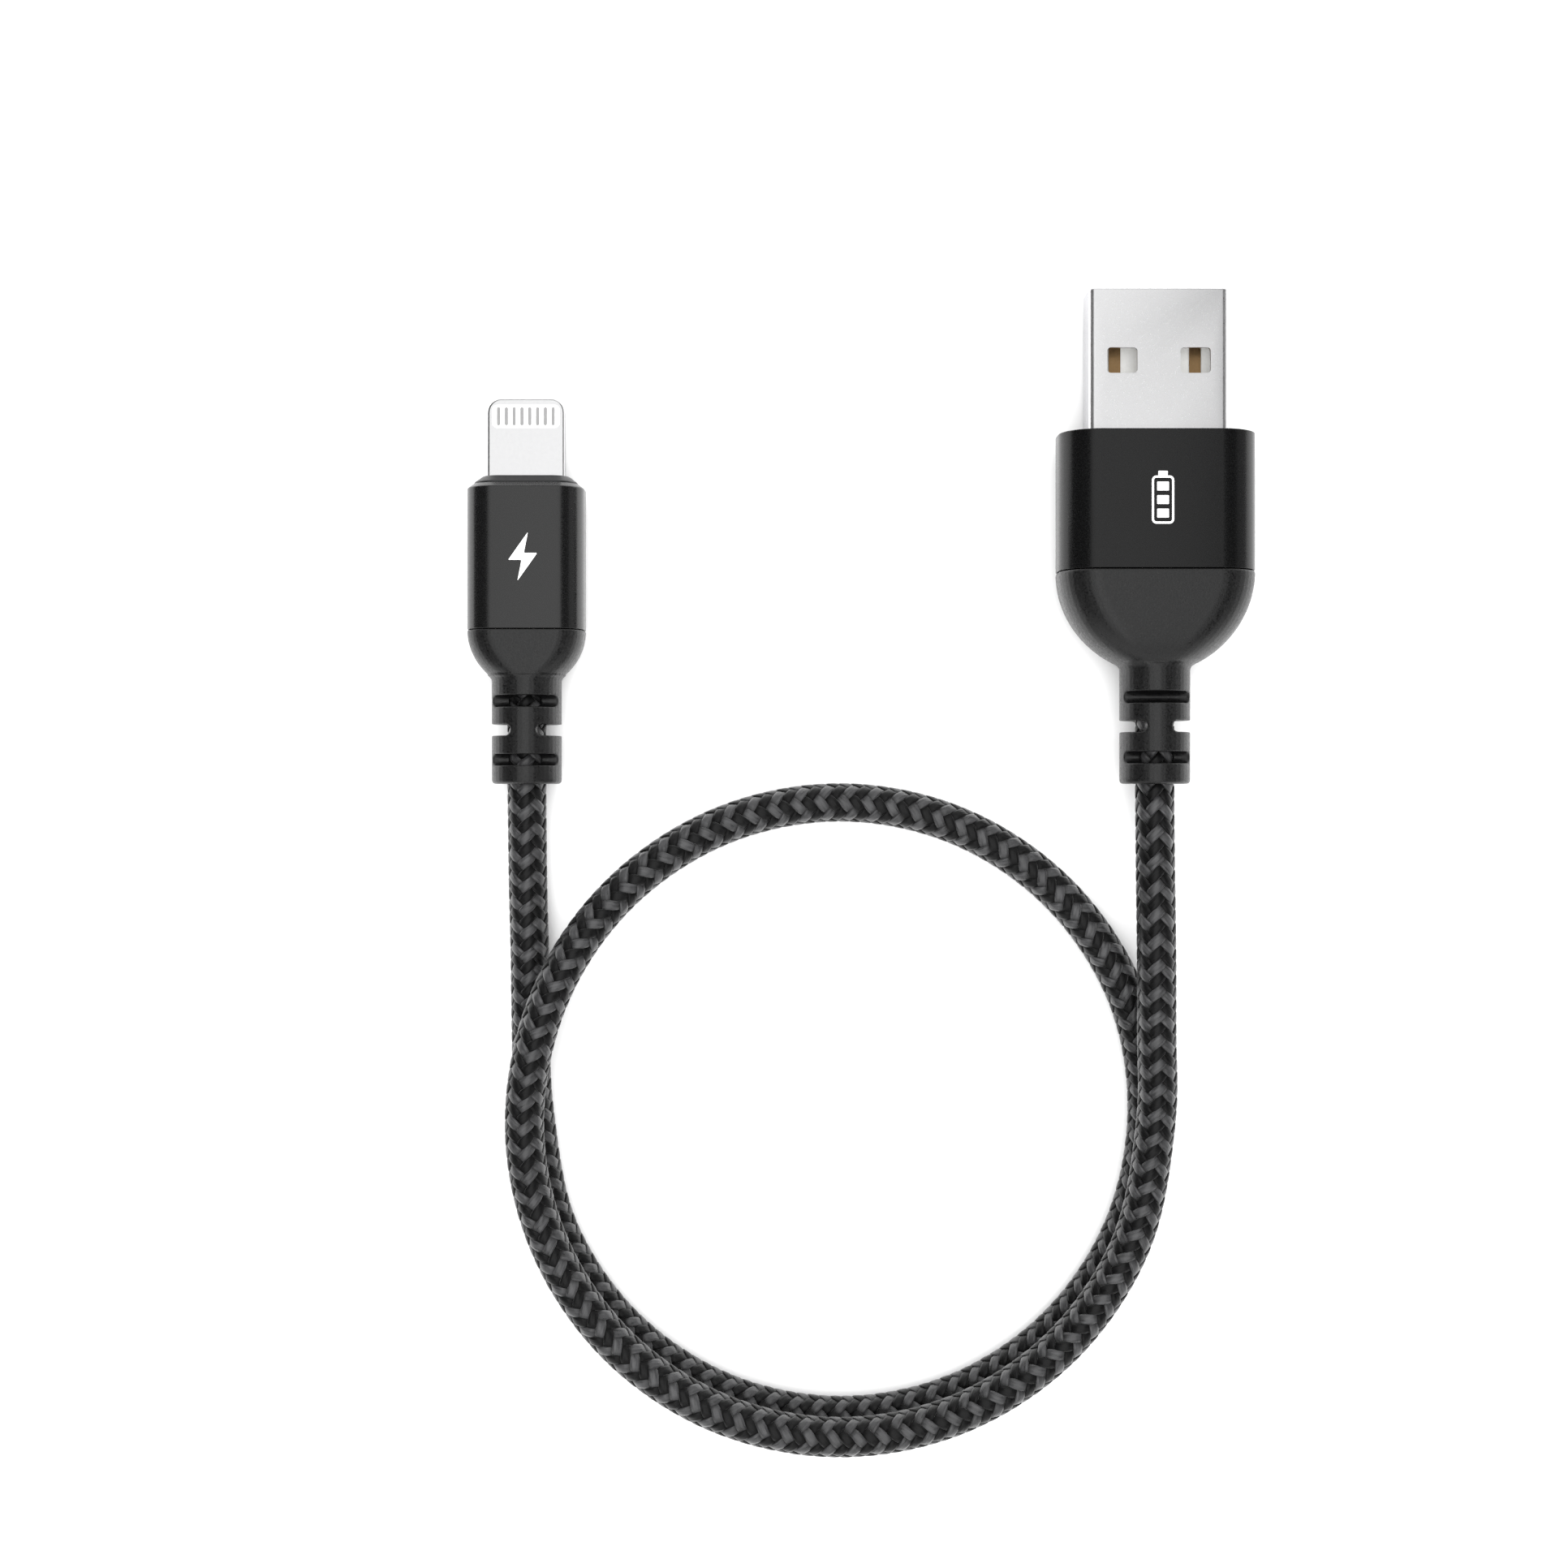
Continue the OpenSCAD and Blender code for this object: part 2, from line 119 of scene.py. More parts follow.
class Shader:
    """A Principled material with short calls for the nodes that feed it."""

    def __init__(self, name, **sockets):
        self.material = bpy.data.materials.new(name)
        self.material.use_nodes = True
        self.tree = self.material.node_tree
        self.bsdf = self.tree.nodes["Principled BSDF"]
        for socket, value in sockets.items():
            self.bsdf.inputs[socket.replace("_", " ")].default_value = value

    def node(self, kind, inputs=None, **settings):
        made = self.tree.nodes.new(kind)
        for key, value in settings.items():
            setattr(made, key, value)
        for key, value in (inputs or {}).items():
            if isinstance(value, bpy.types.NodeSocket):
                self.tree.links.new(value, made.inputs[key])
            else:
                made.inputs[key].default_value = value
        return made

    def noise(self, size_mm, where=None, detail=2.0):
        """Noise whose blobs are about size_mm across in object space, or 1 across in where."""
        vector = where or self.node("ShaderNodeTexCoord").outputs["Object"]
        scale = 1.0 if where else 1 / (size_mm * MM)
        settings = {"Vector": vector, "Scale": scale, "Detail": detail}
        return self.node("ShaderNodeTexNoise", settings).outputs["Fac"]

    def range(self, value, low, high, start=0.3, stop=0.7):
        settings = {"Value": value, "From Min": start, "From Max": stop, "To Min": low, "To Max": high}
        return self.node("ShaderNodeMapRange", settings).outputs["Result"]

    def multiply(self, a, b):
        return self.node("ShaderNodeMath", {0: a, 1: b}, operation="MULTIPLY").outputs[0]

    def tint(self, value, dark, light, start=0.3, stop=0.7):
        share = self.range(value, 0.0, 1.0, start, stop)
        ramp = self.node("ShaderNodeValToRGB", {"Fac": share})
        ramp.color_ramp.elements[0].color = (*dark, 1)
        ramp.color_ramp.elements[1].color = (*light, 1)
        return ramp.outputs["Color"]

    def feed(self, socket, output):
        self.tree.links.new(output, self.bsdf.inputs[socket])

    def bump(self, height, depth_mm):
        settings = {"Height": height, "Distance": depth_mm * MM}
        self.feed("Normal", self.node("ShaderNodeBump", settings).outputs["Normal"])


def grained(name, colour, roughness, grain_mm, depth_mm, speckle=0.15, rough_spread=0.06, **sockets):
    """A surface with a fine grain: its colour, roughness and height all vary a little."""
    shader = Shader(name, **sockets)
    grain = shader.noise(grain_mm)
    dark = [c * (1 - speckle) for c in colour]
    light = [min(c * (1 + speckle), 1) for c in colour]
    shader.feed("Base Color", shader.tint(grain, dark, light))
    shader.feed("Roughness", shader.range(grain, roughness - rough_spread, roughness + rough_spread))
    shader.bump(shader.noise(grain_mm * 0.8, detail=3.0), depth_mm)
    return shader.material


def braid_material(name, colour, roughness, specular):
    """Yarn: fine filaments along each strand, with painted shade where it dips under the others and towards
    its side edges.
    """
    shader = Shader(name, Sheen_Weight=0.08, Sheen_Roughness=0.4)
    along = shader.node("ShaderNodeUVMap", uv_map="filaments").outputs["UV"]
    stretched = shader.node("ShaderNodeMapping", {"Vector": along, "Scale": (1.2, 9, 1)}).outputs["Vector"]
    filaments = shader.noise(1, where=stretched, detail=3.0)
    weave = shader.node("ShaderNodeUVMap", uv_map="weave").outputs["UV"]
    split = shader.node("ShaderNodeSeparateXYZ", {"Vector": weave})
    # Painted shade: lift darkens the yarn where the strand dips under the others, and back darkens it towards
    # its side edges. Shape, their product, dims both the colour and the shine.
    lift = shader.range(split.outputs["X"], 0.15, 1.0, 0.3, 0.95)
    back = shader.range(split.outputs["Y"], 0.5, 1.0, 0.0, 0.3)
    shape = shader.multiply(lift, back)
    streaks = shader.range(filaments, 0.55, 1.45)
    drift = shader.range(shader.noise(2.5), 0.85, 1.15)
    shade = shader.multiply(shape, shader.multiply(streaks, drift))
    ramp = shader.tint(shade, [0.0008] * 3, [c * 1.4 for c in colour], 0, 1.4)
    shader.feed("Base Color", ramp)
    shader.feed("Specular IOR Level", shader.range(shape, 0.0, specular, 0.1, 1))
    shader.feed("Roughness", shader.range(filaments, roughness - 0.08, roughness + 0.1))
    shader.bump(filaments, 0.04)
    return shader.material


yarn_grey = braid_material("yarn_grey", (0.028, 0.028, 0.029), 0.33, 0.65)
yarn_black = braid_material("yarn_black", (0.0026, 0.0026, 0.0027), 0.34, 0.26)
cord_jacket = grained("cord_jacket", (0.003, 0.003, 0.003), 0.7, 0.3, 0.01, Specular_IOR_Level=0.1)
ANODISED = (0.0021, 0.0021, 0.0022)
anodised = grained("black_anodised", ANODISED, 0.25, 0.11, 0.002, speckle=0.6, Specular_IOR_Level=0.66)
# A copy of black_anodised with half its shine, for the USB sleeve: painted shade that keeps this sleeve
# darker than the tip's sleeve under the same light.
anodised_shaded = grained("black_anodised_shaded", ANODISED, 0.25, 0.11, 0.002, speckle=0.6,
                        Specular_IOR_Level=0.32)
boot_rubber = grained("boot_rubber", (0.0026, 0.0026, 0.0027), 0.38, 0.16, 0.013, speckle=0.6,
                      rough_spread=0.12, Specular_IOR_Level=0.62)
black_plastic = grained("black_plastic", (0.007, 0.007, 0.0075), 0.4, 0.2, 0.005)
shell_steel = grained("shell_steel", (0.77, 0.77, 0.775), 0.33, 0.12, 0.002, speckle=0.05, Metallic=1.0,
                     Specular_Tint=(0.6, 0.6, 0.61, 1))
tab_steel = grained("tab_steel", (0.74, 0.74, 0.745), 0.22, 0.3, 0.0005, speckle=0.02, rough_spread=0.02,
                   Metallic=1.0, Specular_Tint=(0.6, 0.6, 0.61, 1))
white_print = grained("white_print", (0.86, 0.86, 0.86), 0.5, 0.1, 0.002, speckle=0.02)
insert_plastic = grained("insert_plastic", (0.88, 0.88, 0.88), 0.3, 0.25, 0.001, speckle=0.015)
contact_pale = grained("contact_pale", (0.5, 0.5, 0.5), 0.35, 0.2, 0.001, speckle=0.04, Metallic=1.0)


# ---------- mesh building

def recalculate(mesh):
    work = bmesh.new()
    work.from_mesh(mesh)
    bmesh.ops.recalc_face_normals(work, faces=work.faces)
    work.to_mesh(mesh)
    work.free()


def finish_shading(mesh, sharp_deg):
    mesh.shade_smooth()
    mesh.set_sharp_from_angle(angle=radians(sharp_deg))


def make_piece(name, points, faces, material, sharp_deg=40):
    """An object from points in millimetres."""
    mesh = bpy.data.meshes.new(name)
    mesh.from_pydata((np.asarray(points) * MM).tolist(), [], faces)
    mesh.materials.append(material)
    recalculate(mesh)
    finish_shading(mesh, sharp_deg)
    piece = bpy.data.objects.new(name, mesh)
    scene.collection.objects.link(piece)
    return piece


def skin(rings, closed=False):
    """Points and faces through rings of equal count; closed joins the last ring to the first."""
    count = len(rings[0])
    points = np.concatenate(rings)
    faces = []
    for i in range(len(rings) - (0 if closed else 1)):
        a, b = i * count, (i + 1) % len(rings) * count
        faces += [(a + k, a + (k + 1) % count, b + (k + 1) % count, b + k) for k in range(count)]
    if not closed:
        faces += [tuple(range(count)), tuple(range(len(points) - count, len(points)))]
    return points, faces


def loft(name, rings, material, closed=False, sharp_deg=40):
    return make_piece(name, *skin(rings, closed), material, sharp_deg)


def outline(w, h, r, steps=10):
    """Corner-rounded rectangle as 2-D points, always in the same order and count."""
    points = []
    for quarter, (sx, sy) in enumerate([(1, 1), (-1, 1), (-1, -1), (1, -1)]):
        for k in range(steps + 1):
            a = pi / 2 * (quarter + k / steps)
            points.append((sx * (w / 2 - r) + r * cos(a), sy * (h / 2 - r) + r * sin(a)))
    return np.array(points)


def ring_y(plug, w, t, r, y):
    """Outline w by t across the plug, at y along it."""
    flat = outline(w, t, r)
    return plug.origin + np.column_stack([flat[:, 0], np.full(len(flat), y), flat[:, 1]])


def ring_z(plug, centre, w, h, r, z):
    """Outline w by h in plan about centre (x, y), at height z over the plug's axis."""
    flat = outline(w, h, r, 6) + centre
    return plug.origin + np.column_stack([flat, np.full(len(flat), z)])


def eased(corners, size, steps=4):
    """A closed outline with its corners eased off; size is one number or one for each corner.
    One more point on each side of a corner keeps the flats beside it flat in the shading."""
    sizes = np.broadcast_to(size, len(corners))
    corners = np.array(corners, float)
    points = []
    for i, corner in enumerate(corners):
        near, flat = [], []
        for other in (corners[i - 1], corners[(i + 1) % len(corners)]):
            way = other - corner
            part = min(sizes[i] / np.linalg.norm(way), 0.4)
            near.append(corner + way * part)
            flat.append(corner + way * part * 1.2)
        points.append(flat[0])
        for t in np.linspace(0, 1, steps + 1):
            points.append((1 - t) ** 2 * near[0] + 2 * t * (1 - t) * corner + t * t * near[1])
        points.append(flat[1])
    return np.array(points)


def turned_skin(name, plug, w, t, r, profile, material):
    """A tube round the plug's axis: profile is a closed outline of (y, inset from the outer size)."""
    rings = [ring_y(plug, w - 2 * inset, t - 2 * inset, max(r - inset, 0.05), y) for y, inset in profile]
    return loft(name, rings, material, closed=True, sharp_deg=50)


def slab(name, plug, centre, w, h, r, z0, z1, ease, material):
    """A flat plate with eased top and bottom edges."""
    rings = []
    for inset, z in ((1.3 * ease, z0), (ease, z0), (0.3 * ease, z0 + 0.3 * ease), (0, z0 + ease),
                     (0, z1 - ease), (0.3 * ease, z1 - 0.3 * ease), (ease, z1), (1.3 * ease, z1)):
        rings.append(ring_z(plug, centre, w - 2 * inset, h - 2 * inset, max(r - inset, 0.02), z))
    return loft(name, rings, material)


def prism(name, corners, low, high, axis, plug, material=None):
    """A straight cut or bar: corners in the two axes other than axis, drawn out from low to high."""
    others = [a for a in range(3) if a != axis]
    rings = []
    for depth in (low, high):
        ring = np.zeros((len(corners), 3))
        ring[:, others] = corners
        ring[:, axis] = depth
        rings.append(plug.origin + ring)
    return loft(name, rings, material or boot_rubber)


def join(name, parts):
    """One object from several, for pieces of one kind."""
    with bpy.context.temp_override(active_object=parts[0], selected_editable_objects=parts):
        bpy.ops.object.join()
    parts[0].name = name
    return parts[0]


def settle(piece):
    """Applies the piece's modifiers."""
    graph = bpy.context.evaluated_depsgraph_get()
    mesh = bpy.data.meshes.new_from_object(piece.evaluated_get(graph))
    old, piece.data = piece.data, mesh
    piece.modifiers.clear()
    bpy.data.meshes.remove(old)


def combine(piece, tools, operation):
    for tool in tools:
        step = piece.modifiers.new(operation.lower(), "BOOLEAN")
        step.operation = operation
        step.solver = "EXACT"
        step.object = tool
        settle(piece)
        bpy.data.objects.remove(tool)


def moulded_finish(piece, voxel, rounds):
    """Rebuilds the mesh evenly and softens its edges, as a moulding has them."""
    step = piece.modifiers.new("even", "REMESH")
    step.mode = "VOXEL"
    step.voxel_size = voxel * MM
    soften = piece.modifiers.new("soften", "SMOOTH")
    soften.factor = 0.5
    soften.iterations = rounds
    settle(piece)
    piece.data.shade_smooth()


# ---------- the cord's route, as in the CAD

CORD_D = 3.4
CORD_R = CORD_D / 2
LOW = CORD_R
HIGH = 3 * CORD_R + 0.1
TURNS = [((-1.6, -49.9), 27, 180, 360), ((-1.7, -50.1), 27.3, 0, 180), ((-1.75, -50.4), 27.35, 180, 360)]
STEPS_PER_HALF_TURN = 8
CLIMB = (80, 172)
STEP = 0.2
RELAX_ROUNDS = 60


def smooth_step(t):
    t = np.clip(t, 0, 1)
    return t * t * (3 - 2 * t)


def turn_points(number):
    """Points of one half turn; the middle one leaves its shared ends to the other two."""
    (cx, cy), r, first, last = TURNS[number]
    points = []
    for k in range(STEPS_PER_HALF_TURN + 1):
        if number == 1 and k in (0, STEPS_PER_HALF_TURN):
            continue
        a = first + (last - first) * k / STEPS_PER_HALF_TURN
        rise = (0, smooth_step((a - CLIMB[0]) / (CLIMB[1] - CLIMB[0])), 1)[number]
        points.append((cx + r * cos(radians(a)), cy + r * sin(radians(a)), LOW + (HIGH - LOW) * rise))
    return points


def route_points():
    """The route from one boot's mouth to the other, with a point inside each boot at its ends."""
    start, end = tip.origin, usb.origin
    return np.array([
        start + [0, tip.swing, 0], start,
        (-29.1, -26, 2.7), (-29.1, -31, 2.1), (-29, -36.5, LOW), (-28.9, -43, LOW),
        *turn_points(0), *turn_points(1), *turn_points(2),
        (25.65, -43, HIGH), (25.65, -36, HIGH), (25.65, -28.5, 4.6),
        end, end + [0, usb.swing, 0]])


def spline(points, per_span=24):
    """A smooth line through all but the first and last of the points."""
    line = []
    for a, b, c, d in zip(points, points[1:], points[2:], points[3:]):
        for t in np.arange(per_span) / per_span:
            line.append((2 * b + (c - a) * t + (2 * a - 5 * b + 4 * c - d) * t ** 2
                         + (3 * b - a - 3 * c + d) * t ** 3) / 2)
    line.append(points[-2])
    return np.array(line)


def even(line, step):
    """The same line with points at an even step."""
    along = np.concatenate([[0], np.cumsum(np.linalg.norm(np.diff(line, axis=0), axis=1))])
    marks = np.linspace(0, along[-1], ceil(along[-1] / step) + 1)
    return np.column_stack([np.interp(marks, along, line[:, k]) for k in range(3)])


def relaxed(line, rounds):
    """Evens out small changes of curvature; the ends stay."""
    line = line.copy()
    for _ in range(rounds):
        line[1:-1] = (line[:-2] + 2 * line[1:-1] + line[2:]) / 4
    return line


TIP_REACH = 11.0    # how far the cord runs into each boot
USB_REACH = 7.0

route = relaxed(even(spline(route_points()), STEP), RELAX_ROUNDS)
route[:, 2] = np.maximum(route[:, 2], LOW)
into_tip = np.arange(ceil(TIP_REACH / STEP), 0, -1) * STEP
into_usb = np.arange(1, ceil(USB_REACH / STEP) + 1) * STEP
centre_line = np.concatenate([
    tip.origin + np.outer(into_tip, [0, 1, 0]), route, usb.origin + np.outer(into_usb, [0, 1, 0])])
tip_mouth = len(into_tip)               # where the centre line passes each boot's mouth
usb_mouth = tip_mouth + len(route) - 1
along_line = np.concatenate([[0], np.cumsum(np.linalg.norm(np.diff(centre_line, axis=0), axis=1))])


def across(line):
    """Two directions across the line, at each of its points, that don't twist along it."""
    along = np.gradient(line, axis=0)
    along /= np.linalg.norm(along, axis=1)[:, None]
    side = np.zeros_like(line)
    side[0] = np.cross(along[0], [0, 0, 1])
    for i in range(1, len(line)):
        carried = side[i - 1] - along[i] * (side[i - 1] @ along[i])
        side[i] = carried / np.linalg.norm(carried)
    return side, np.cross(side, along)


side_axis, up_axis = across(centre_line)


# ---------- the braid: two sets of strands, each over two and under two of the other

CARRIERS = 8            # strands that wind each way
LEAD = 8.4              # length of one strand's turn round the cord
STRETCHED = 20          # the last part of the cord, next to the USB plug, where the turns lengthen
STRETCH = 0.17          # share of its turns that the braid has lost at the end of that part
STRAND_W = 0.9
STRAND_T = 0.26
WEAVE = 0.14            # how far a strand rises and dips from the mean radius
MEAN_R = CORD_R - WEAVE - STRAND_T / 2
FLATNESS = 1.4          # above 1, a strand runs level for a while on top and underneath
PATTERN_TURN = 36       # degrees that the weave is turned round the cord
CORE_R = 1.28           # the jacket under the braid, its rings' spacing and their sides
CORE_STEP = 0.6
CORE_SIDES = 14
# A strand's section, anticlockwise: across it in strand widths, and up in half thicknesses
SECTION = [(-0.5, 0), (-0.42, 0.75), (-0.2, 1), (0.2, 1), (0.42, 0.75), (0.5, 0), (0, -0.6)]


def on_cord(distance, turn, radius):
    """Points at a distance along the cord, an angle round it and a radius from its centre."""
    place = [np.interp(distance, along_line, centre_line[:, k]) for k in range(3)]
    side = [np.interp(distance, along_line, side_axis[:, k]) for k in range(3)]
    up = [np.interp(distance, along_line, up_axis[:, k]) for k in range(3)]
    return np.stack([
        p + radius * (np.cos(turn) * s + np.sin(turn) * u) for p, s, u in zip(place, side, up)], -1)


def wound(distance):
    """The length of even braid with as many turns as the cord has up to a distance along it."""
    into = np.maximum((distance - along_line[usb_mouth]) / STRETCHED + 1, 0)
    return distance - STRETCH * STRETCHED * into ** 2 / 2


def strand(index, way, distance):
    """Rings of one strand's section, and how high it lies in the weave from 0 to 1; way is 1 or
    -1 for the direction that it winds in."""
    spin = 2 * pi / LEAD
    crossing = 2 * index + way * 2 * CARRIERS * wound(distance) / LEAD
    over = np.clip(FLATNESS * np.cos(pi / 2 * (crossing - 0.5)), -1, 1) * way
    centre_r = MEAN_R + WEAVE * over
    turn = radians(PATTERN_TURN) + 2 * pi * index / CARRIERS + way * spin * wound(distance)
    slope = np.arctan2(spin * MEAN_R, 1)
    rings = []
    for aside, lift in SECTION:
        offset = aside * STRAND_W
        rings.append(on_cord(distance - offset * sin(slope), turn + way * offset * cos(slope) / centre_r,
                             centre_r + lift * STRAND_T / 2))
    return np.stack(rings, axis=1), (over + 1) / 2


def strands(name, start, stop, picks, material):
    """A mesh of several strands from start to stop. Its UV maps hold each point's place along and
    round its strand, and its height in the weave and on the strand's back."""
    distance = np.linspace(start, stop, ceil((stop - start) / STEP) + 1)
    count = len(SECTION)
    # back is 1 along the strand's top and 0 at its edges. It goes into the weave UV map with the height in
    # the weave, and the yarn material paints shade from both.
    back = np.array([1 - (2 * aside) ** 2 if lift > -0.5 else 0 for aside, lift in SECTION])
    row, column = np.indices((len(distance) - 1, count)).reshape(2, -1)
    beside = (column + 1) % count
    corners = np.stack([row * count + column, row * count + beside,
                        (row + 1) * count + beside, (row + 1) * count + column], axis=-1)
    points, faces, place, height = [], [], [], []
    for number, (index, way) in enumerate(picks):
        rings, lift = strand(index, way, distance)
        quads = corners[:, ::way]
        points.append(rings.reshape(-1, 3))
        faces.append(quads + number * rings.shape[0] * count)
        rows, columns = quads // count, quads % count
        place.append(np.stack([distance[rows] + 7 * index, columns / count], axis=-1))
        height.append(np.stack([lift[rows], back[columns]], axis=-1))
    mesh = bpy.data.meshes.new(name)
    mesh.from_pydata((np.concatenate(points) * MM).tolist(), [], np.concatenate(faces).tolist())
    mesh.materials.append(material)
    for uv_map, values in (("filaments", place), ("weave", height)):
        mesh.uv_layers.new(name=uv_map).data.foreach_set("uv", np.concatenate(values).ravel())
    mesh.shade_smooth()
    piece = bpy.data.objects.new(name, mesh)
    scene.collection.objects.link(piece)
    return piece


def core_tube(name, start, stop):
    """The cord's jacket under the braid, and the centres of its rings."""
    distance = np.linspace(start, stop, ceil((stop - start) / CORE_STEP) + 1)
    turns = np.arange(CORE_SIDES) * 2 * pi / CORE_SIDES
    rings = [on_cord(np.full(CORE_SIDES, d), turns, CORE_R) for d in distance]
    centres = on_cord(distance, 0 * distance, 0 * distance)
    return loft(name, rings, cord_jacket, sharp_deg=60), centres


SETS = {
    "grey_right": ([(i, 1) for i in range(0, CARRIERS, 2)], yarn_grey),
    "black_right": ([(i, 1) for i in range(1, CARRIERS, 2)], yarn_black),
    "grey_left": ([(i, -1) for i in range(0, CARRIERS, 2)], yarn_grey),
    "black_left": ([(i, -1) for i in range(1, CARRIERS, 2)], yarn_black),
}


def braided(name, start, stop):
    """Core and braid of one stretch of the cord, and the core's ring centres."""
    core, centres = core_tube(f"{name}_core", start, stop)
    braids = [
        strands(f"{name}_{kind}", start, stop, picks, material) for kind, (picks, material) in SETS.items()]
    return core, braids, centres


def at_tip(y):
    return along_line[tip_mouth] - y


def at_usb(y):
    return along_line[usb_mouth] + y


def middle(plug):
    """Where a boot's ring is cut between its two hinges."""
    return (plug.swing + plug.tilt) / 2


def below_swing(plug):
    """Where the cord changes pieces inside the boot, out of sight below the swing slot."""
    return plug.swing - 1.2


cord, cord_braids, ring_centres = braided("cord", at_tip(below_swing(tip)), at_usb(below_swing(usb)))
cord.name = "cord_jacket"
for piece in (cord, *cord_braids):
    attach(piece, CORE)
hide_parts("cord")


def bend(piece, plug, y, reach=0.6):
    """Bakes the piece's place into its mesh; the points reach either side of the slot at y are worked out but
    not used.
    """
    plug.point(y - reach)
    plug.point(y + reach)
    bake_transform(piece)


def cord_in_boot(name, plug, start, stop, y, nodes):
    """A stretch of cord inside a boot, in place of the CAD's short lengths."""
    core, braids, _ = braided(name, start, stop)
    for piece in (core, *braids):
        bend(piece, plug, y)
    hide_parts(*nodes)
    return [core, *braids]


in_boots = [
    *cord_in_boot("usb_swing_cord", usb, at_usb(below_swing(usb)), at_usb(middle(usb)),
                  usb.swing, ["usb_cord_link"]),
    *cord_in_boot("tip_swing_cord", tip, at_tip(middle(tip)), at_tip(below_swing(tip)),
                  tip.swing, ["tip_cord_link"]),
    *cord_in_boot("tip_tilt_cord", tip, at_tip(TIP_REACH), at_tip(middle(tip)),
                  tip.tilt, ["tip_cord_end"]),
    frame["nodes"]["usb_cord_end"]]


# ---------- boots

SLOT_W = 1.0
SLOT_FLOOR = 1.1
BORE_R = CORD_R + 0.05
FAR = 20
SHOULDER = {"usb": 8.75, "tip": 5.1}     # length of the round shoulder, if it ran on to a point
CLOSES = {"usb": 9.3, "tip": 6.5}       # the same seen from the side, where it is blunter
FILLET = 0.6                            # between shoulder and neck, at the sides
FIRST_SLOT = {"usb": 2.3, "tip": 2.1}
FERRULE_Y = {"usb": 10.4, "tip": 9.0}
FERRULE_R = 2.35                        # bores for the ferrule and, past it, for the inner moulding
MOULD_R = {"usb": 2.65, "tip": 2.2}
TIP_CORNER = 2.4


def slot_cut(plug, y, axis, way):
    """A cut across the boot with a round bottom; axis is the one it is drawn out along."""
    half = SLOT_W / 2
    bottom = [(y + half * cos(a), SLOT_FLOOR + half - half * sin(a)) for a in np.linspace(0, pi, 13)]
    shape = bottom + [(y - half, FAR), (y + half, FAR)]
    corners = [(d * way, y) if axis == 2 else (y, d * way) for y, d in shape]
    return prism("slot", corners, -FAR, FAR, axis, plug)


def round_cut(plug, r, y0, y1):
    return loft("bore", [ring_y(plug, 2 * r, 2 * r, r, y) for y in (y0, y1)], boot_rubber)


def half_thickness(plug, drop):
    """Half of the shoulder's thickness, that much below the seam."""
    return plug.t / 2 * sqrt(max(1 - (drop / CLOSES[plug.name]) ** 4, 0.02))


def shoulder_rings(plug, corner):
    """Sections of the round shoulder, from the seam down to where it is lost in the neck."""
    rings = []
    for a in np.concatenate([[0, 0.6, 1.5], np.linspace(3, 84, 40)]):
        drop = SHOULDER[plug.name] * sin(radians(a))
        half_w = plug.w / 2 * cos(radians(a))
        half_t = half_thickness(plug, drop)
        blend = smooth_step(a / 70)
        r = min(corner + (min(half_w, half_t) - corner) * blend, half_w - 0.01, half_t - 0.01)
        edge = 0.1 if a == 0 else 0.03 if a == 0.6 else 0
        rings.append(ring_y(plug, 2 * (half_w - edge), 2 * (half_t - edge), r - edge, plug.seam - drop))
    return rings


def boot(plug, corner, bores, voxel):
    """The whole boot in one mesh: shoulder, neck and slotted tail."""
    meeting = plug.seam - SHOULDER[plug.name] * sqrt(1 - (2 * plug.boot_r / plug.w) ** 2)
    start = meeting - 0.68 * FILLET
    neck = [(y, plug.boot_r - inset, 0) for y, inset in ((0, 0.3), (0.06, 0.14), (0.16, 0.04), (0.3, 0))]
    neck += [(start + FILLET * sin(a), plug.boot_r, FILLET * (1 - cos(a))) for a in np.linspace(0, 1.2, 7)]
    body = loft("neck", [ring_y(plug, 2 * (r + flare), 2 * r, r, y) for y, r, flare in neck], boot_rubber)
    combine(body, [loft("shoulder", shoulder_rings(plug, corner), boot_rubber)], "UNION")
    slots = [(FIRST_SLOT[plug.name], 0), (plug.swing, 2), (plug.tilt, 0)]
    cuts = [slot_cut(plug, y, axis, way) for y, axis in slots for way in (1, -1)]
    cuts += [round_cut(plug, r, y0, y1) for r, y0, y1 in bores]
    combine(body, cuts, "DIFFERENCE")
    moulded_finish(body, voxel, 5)
    return body


def half_of(body, plug, y, keep_low, name):
    """A copy of one side of the boot, cut across at y."""
    work = bmesh.new()
    work.from_mesh(body.data)
    cut = Vector(plug.point(y))
    bmesh.ops.bisect_plane(work, geom=work.verts[:] + work.edges[:] + work.faces[:], plane_co=cut,
                           plane_no=(0, 1, 0), clear_outer=keep_low, clear_inner=not keep_low)
    mesh = bpy.data.meshes.new(name)
    work.to_mesh(mesh)
    work.free()
    mesh.shade_smooth()
    mesh.materials.append(boot_rubber)
    piece = bpy.data.objects.new(name, mesh)
    scene.collection.objects.link(piece)
    return piece


def fit_boot(plug, corner, bores, voxel):
    """The boot in two halves that meet in its ring."""
    body = boot(plug, corner, bores, voxel)
    tail = half_of(body, plug, middle(plug), True, f"{plug.name}_boot_lower")
    head = half_of(body, plug, middle(plug), False, f"{plug.name}_boot_upper")
    bpy.data.objects.remove(body)
    bend(tail, plug, plug.swing)
    bend(head, plug, plug.tilt)
    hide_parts(f"{plug.name}_boot_tail")
    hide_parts(f"{plug.name}_boot_ring", f"{plug.name}_boot_head")


